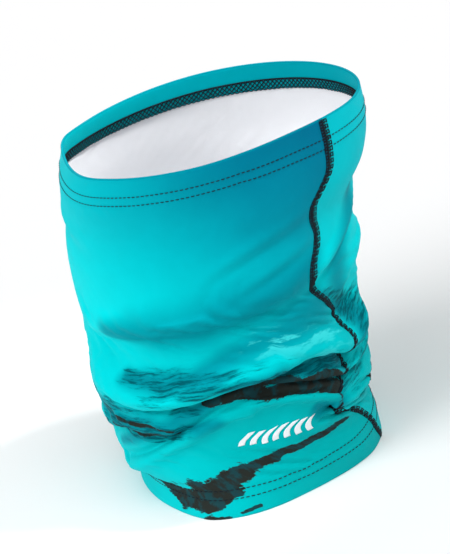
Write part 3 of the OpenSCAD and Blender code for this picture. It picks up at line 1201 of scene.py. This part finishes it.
def seam_looper(cloth):
    """The looper thread on the inside of the seam: a zigzag with rounded turns."""
    pitch, radius = SEAM_LOOPER_PITCH * thread_size("seam_stitch"), thread_size("cover") / 2
    ends = HEM_DEPTH + SEAM_CLEAR, PANEL_LENGTH - HEM_DEPTH - SEAM_CLEAR
    lengths = np.arange(*ends, pitch / SEAM_LOOPER_POINTS)
    across = SEAM_BAND / 2 * np.sin(2 * np.pi * lengths / pitch)
    strand = line(cloth, lengths, SEAM_ANGLE + across / cloth.per_degree,
                  -cloth.knit / 2 - radius, radius)
    thread_piece("seam_looper_stitches", "seam_looper_thread", [strand])


def hem_length(rim, row):
    """Length down the cloth of a hem's needle row: row 0 is the one nearer the edge."""
    inward = HEM_TO_NEEDLE + row * NEEDLE_GAUGE
    return inward if rim else PANEL_LENGTH - inward


def hem_stitches(cloth):
    """How many stitches go round a hem."""
    return round(360.0 * cloth.per_degree / thread_size("stitch"))


def steps_round(steps):
    """Angles of even steps round the tube, in degrees."""
    return np.arange(steps) * 360.0 / steps


HEM_STITCH_SHARE = 0.84


def hem_needle(cloth, rim, row, name, node):
    """One row of straight stitches round a hem."""
    stitches = hem_stitches(cloth)
    pitch = 360.0 / stitches
    within = np.linspace(0.0, HEM_STITCH_SHARE * pitch, STITCH_POINTS)
    angles = (np.arange(stitches) * pitch)[:, None] + within[None, :]
    lengths = np.full_like(angles, hem_length(rim, row))
    thread_piece(name, node, [dashes(cloth, lengths, angles, thread_size("needle") / 2)])


# The coverstitch inside a hem reaches this far beyond the needle rows, in millimetres, and lies
# this many thicknesses of the knit inside the cloth's middle. The net is zigzags, each this many
# stitches long, with this many mesh points, a little wider than that reach, with rounded turns,
# and this thick against the cover thread. It lies deeper by these shares of its radius, even and
# changing along it. The edge line is two threads twisted by so much, along the cloth and through
# it, in millimetres. The scallop's arcs stand out by so much beyond the net, at least and more.
LOOPER_BESIDE = 0.5
LOOPER_DEPTH = 1.6
NET_STRANDS = 4
NET_STITCHES = 3.9
NET_POINTS = 20
NET_WIDER = 1.04
NET_ROUND = 0.97
NET_THICK = 1.45
NET_DEEPER = (0.5, 0.6)
EDGE_POINTS = 12
EDGE_THICK = 1.4
EDGE_TWIST = (0.26, 0.2)
SCALLOP = (-0.2, 0.9)
SCALLOP_RISE = 0.8


def hem_looper(cloth, rim, name, node):
    """The coverstitch inside a hem: crossed zigzags between a twisted edge line and a scalloped
    one, over the cut edge."""
    radius, stitches = thread_size("cover") / 2, hem_stitches(cloth)
    middle = (hem_length(rim, 0) + hem_length(rim, 1)) / 2
    inward = 1.0 if rim else -1.0
    reach = NEEDLE_GAUGE / 2 + LOOPER_BESIDE
    inner = -cloth.knit * LOOPER_DEPTH - radius
    strands = []
    zigzags = round(stitches / NET_STITCHES)
    net = steps_round(zigzags * NET_POINTS)
    for strand in range(NET_STRANDS):
        phase = 2 * np.pi * (zigzags * net / 360.0 + strand / NET_STRANDS)
        zigzag = np.arcsin(NET_ROUND * np.sin(phase)) * 2 / np.pi
        lift = inner - radius * (NET_DEEPER[0] + NET_DEEPER[1] * np.cos(phase))
        strands.append(line(cloth, middle + inward * reach * NET_WIDER * zigzag, net, lift,
                            radius * NET_THICK, True))
    angles = steps_round(stitches * EDGE_POINTS)
    wave = 2 * np.pi * stitches * angles / 360.0
    for phase in (0.0, np.pi):
        edge = middle - inward * reach + EDGE_TWIST[0] * np.sin(wave + phase)
        lift = inner - radius + EDGE_TWIST[1] * np.cos(wave + phase)
        strands.append(line(cloth, edge, angles, lift, radius * EDGE_THICK, True))
    scallop = reach + SCALLOP[1] * np.abs(np.sin(wave / 2)) + SCALLOP[0]
    strands.append(line(cloth, middle + inward * scallop, angles, inner + radius * SCALLOP_RISE,
                        radius, True))
    thread_piece(name, node, strands)


def sew_hem(rim, side):
    """Sews one hem. Its upper needle row is the one nearer the rim."""
    cloth = gathered_cloth()
    upper, lower = (0, 1) if rim else (1, 0)
    for row, place in ((upper, "upper"), (lower, "lower")):
        hem_needle(cloth, rim, row, f"{side}_hem_stitches_{place}",
                   f"{side}_hem_needle_thread_{place}")
    hem_looper(cloth, rim, f"{side}_hem_coverstitch", f"{side}_hem_looper_thread")


# ---- The reflective mark ----

# The row of dashes, in millimetres: from one dash to the next, how far the row falls over each
# millimetre, how far below and beside the frame's mark it lies, one dash's width, height and
# slant, the film's thickness, and the mesh points across and up one dash
MARK_DASHES = 7
MARK_PITCH = 6.8
MARK_FALL = 0.15
MARK_BELOW = 5.0
MARK_BESIDE = -4.5
DASH_WIDTH = 4.0
DASH_HEIGHT = 8.0
DASH_SLANT = 0.36
FILM = 0.26
DASH_POINTS = (7, 13)
# How much a place further back counts against one that faces the mark
BACK_COUNTS = 0.3


def mark_start(cloth):
    """Length and angle of the place on the cloth that faces the frame's mark."""
    middle = (MARK_LOW + MARK_HIGH) / 2
    off = np.hypot(cloth.points[..., 0] - middle[0], cloth.points[..., 2] - middle[2])
    off = off + BACK_COUNTS * (cloth.points[..., 1] - cloth.points[..., 1].min())
    i, j = np.unravel_index(np.argmin(off), off.shape)
    return cloth.rows[i], cloth.angles[j]


def slab_faces(rows, columns, start):
    """Faces of a thin slab: its top grid of points, then its bottom grid, from a first point."""
    top = start + np.arange(rows * columns).reshape(rows, columns)
    drop = rows * columns
    a, b, c, d = [grid.ravel() for grid in (top[:-1, :-1], top[:-1, 1:], top[1:, 1:],
                                            top[1:, :-1])]
    border = np.concatenate([top[:, 0], top[-1, 1:], top[-2::-1, -1], top[0, -2:0:-1]])
    after = np.roll(border, -1)
    faces = [(a, b, c, d), (a + drop, d + drop, c + drop, b + drop),
             (border, after, after + drop, border + drop)]
    return np.concatenate([np.stack(corners, axis=1) for corners in faces]).tolist()


def build_mark(cloth):
    """A row of plain slanted dashes of film on the front."""
    length, angle = mark_start(cloth)
    across, up = np.meshgrid(*[np.linspace(-0.5, 0.5, count) for count in DASH_POINTS])
    points, faces = [], []
    for dash in range(MARK_DASHES):
        along = (dash - (MARK_DASHES - 1) / 2) * MARK_PITCH + MARK_BESIDE
        shift = along + across * DASH_WIDTH + up * DASH_HEIGHT * DASH_SLANT
        lengths = length + MARK_BELOW + MARK_FALL * along - up * DASH_HEIGHT
        faces += slab_faces(*across.shape, 2 * dash * across.size)
        for lift in (cloth.knit / 2 + FILM, cloth.knit / 2 - FILM / 4):
            grid = cloth.at(lengths, angle + shift / cloth.per_degree, lift)[0]
            points.append(grid.reshape(-1, 3))
    new_piece("reflective_dashes", np.concatenate(points), faces,
              ["reflective_transfer"], [reflective_material()])


# ---- The stage ----

FLOOR_REACH = 6.0

# Distant lights: their name, the direction they shine in, their share of the key light, and
# their softness in degrees
SUNS = [
    ("key", (0.80, 0.50, -0.62), 1.0, 35.0),
    ("top", (0.05, 0.45, -1.0), 0.95, 60.0),
    ("fill", (-0.85, 0.35, -0.55), 0.3, 70.0),
]

# The light into the open top: where it hangs and where it points, in metres, the second of them
# at this share of the gaiter's height, how wide its beam is, in degrees, and how soft it is
LAMP_PLACE = (0.52, -0.10, 1.08)
LAMP_AIM = (-0.034, 0.024)
LAMP_AIM_SHARE = 0.9
LAMP_BEAM = 13.0
LAMP_BLEND = 0.6
LAMP_SIZE = 0.12

# The camera aims this far left of the middle of the gaiter's box, in metres, and as far above
# it. Its sensor's width is in millimetres.
AIM_OFF = 0.0052
SENSOR = 36.0


def turn_to(thing, direction):
    """Turns a light or a camera so that it points along a direction."""
    thing.rotation_mode = "QUATERNION"
    thing.rotation_quaternion = Vector(direction).to_track_quat("-Z", "Y")


def build_floor():
    """A wide flat floor under the gaiter."""
    mesh = bpy.data.meshes.new("floor")
    corners = [(x * FLOOR_REACH, y * FLOOR_REACH, 0)
               for x, y in ((-1, -1), (1, -1), (1, 1), (-1, 1))]
    mesh.from_pydata(corners, [], [(0, 1, 2, 3)])
    mesh.materials.append(floor_material())
    new_object("floor", mesh)


def light_stage(context, settings):
    """Even light from all round, soft distant lights, and a narrow one into the open top."""
    world = context.scene.world = bpy.data.worlds.new("studio")
    world.use_nodes = True
    background = world.node_tree.nodes["Background"]
    background.inputs["Color"].default_value = (1.0, 1.0, 1.0, 1.0)
    background.inputs["Strength"].default_value = settings.surround
    for name, direction, share, softness in SUNS:
        light = bpy.data.lights.new(name, "SUN")
        light.energy = settings.key * share
        light.angle = math.radians(softness)
        turn_to(new_object(name, light), direction)
    light = bpy.data.lights.new("inside", "SPOT")
    light.energy = settings.inside
    light.spot_size = math.radians(LAMP_BEAM)
    light.spot_blend = LAMP_BLEND
    light.shadow_soft_size = LAMP_SIZE
    lamp = new_object("inside", light)
    lamp.location = LAMP_PLACE
    turn_to(lamp, Vector((*LAMP_AIM, CAD_BOX[1][2] * LAMP_AIM_SHARE)) - lamp.location)


def place_camera(context, settings):
    """Looks down on the middle of the object's box from the front, rolled to its side."""
    camera = bpy.data.cameras.new("camera")
    camera.lens = settings.lens
    camera.sensor_width = SENSOR
    eye = new_object("camera", camera)
    back = Vector((0.0, -math.cos(settings.look_down), math.sin(settings.look_down)))
    low, high = CAD_BOX
    aim = Vector(((low[0] + high[0]) / 2 - AIM_OFF, 0.0, (low[2] + high[2]) / 2 + AIM_OFF))
    eye.location = aim + back * settings.distance
    turn_to(eye, -back)
    eye.rotation_quaternion @= Quaternion((0.0, 0.0, 1.0), -settings.lean)
    context.scene.camera = eye


# ---- Operators ----


class GAITER_OT_stage(bpy.types.Operator):
    """Sets the pale floor, the soft lights and the camera"""

    bl_idname = "gaiter.stage"
    bl_label = "Stage"

    def execute(self, context):
        settings = context.scene.gaiter_stage
        build_floor()
        light_stage(context, settings)
        context.scene.view_settings.view_transform = "Standard"
        place_camera(context, settings)
        return {"FINISHED"}


class GAITER_OT_knit_panel(bpy.types.Operator):
    """Builds the printed knit panel, gathered into a tube"""

    bl_idname = "gaiter.knit_panel"
    bl_label = "Knit panel"

    def execute(self, context):
        build_panel(gathered_cloth())
        return {"FINISHED"}


class GAITER_OT_side_seam(bpy.types.Operator):
    """Sews the flatlock side seam: cover thread, four needle threads and looper thread"""

    bl_idname = "gaiter.side_seam"
    bl_label = "Side seam"

    def execute(self, context):
        cloth = gathered_cloth()
        seam_cover(cloth)
        for number in range(SEAM_ROWS):
            seam_needle(cloth, number)
        seam_looper(cloth)
        return {"FINISHED"}


class GAITER_OT_hems(bpy.types.Operator):
    """Sews the top and bottom hems: two needle threads each, and the looper thread inside"""

    bl_idname = "gaiter.hems"
    bl_label = "Hems"

    def execute(self, context):
        sew_hem(True, "top")
        sew_hem(False, "bottom")
        return {"FINISHED"}


class GAITER_OT_reflective_mark(bpy.types.Operator):
    """Lays a row of plain slanted reflective dashes on the front"""

    bl_idname = "gaiter.reflective_mark"
    bl_label = "Reflective mark"

    def execute(self, context):
        build_mark(gathered_cloth())
        return {"FINISHED"}


class GAITER_PT_panel(bpy.types.Panel):
    """Lists the steps that build the gaiter"""

    bl_label = "Neck gaiter"
    bl_idname = "GAITER_PT_panel"
    bl_space_type = "VIEW_3D"
    bl_region_type = "UI"
    bl_category = "Gaiter"

    def draw(self, context):
        for step in STEPS:
            self.layout.operator(step.bl_idname)
        for group in SETTINGS:
            column = self.layout.column()
            for name in SETTINGS[group].__annotations__:
                column.prop(getattr(context.scene, group), name)


STEPS = [GAITER_OT_stage, GAITER_OT_knit_panel, GAITER_OT_side_seam, GAITER_OT_hems,
         GAITER_OT_reflective_mark]
SETTINGS = {
    "gaiter_cloth": GaiterClothSettings,
    "gaiter_print": GaiterPrintSettings,
    "gaiter_thread": GaiterThreadSettings,
    "gaiter_stage": GaiterStageSettings,
}


def register():
    """Registers the settings, the operators and the sidebar panel."""
    for group, settings in SETTINGS.items():
        bpy.utils.register_class(settings)
        setattr(bpy.types.Scene, group, bpy.props.PointerProperty(type=settings))
    for step in STEPS:
        bpy.utils.register_class(step)
    bpy.utils.register_class(GAITER_PT_panel)


def unregister():
    """Takes everything that register added away again."""
    bpy.utils.unregister_class(GAITER_PT_panel)
    for step in reversed(STEPS):
        bpy.utils.unregister_class(step)
    for group, settings in SETTINGS.items():
        delattr(bpy.types.Scene, group)
        bpy.utils.unregister_class(settings)


def main():
    """Builds the gaiter."""
    register()
    bpy.ops.gaiter.stage()
    bpy.ops.gaiter.knit_panel()
    bpy.ops.gaiter.side_seam()
    bpy.ops.gaiter.hems()
    bpy.ops.gaiter.reflective_mark()


if __name__ == "__main__":
    main()
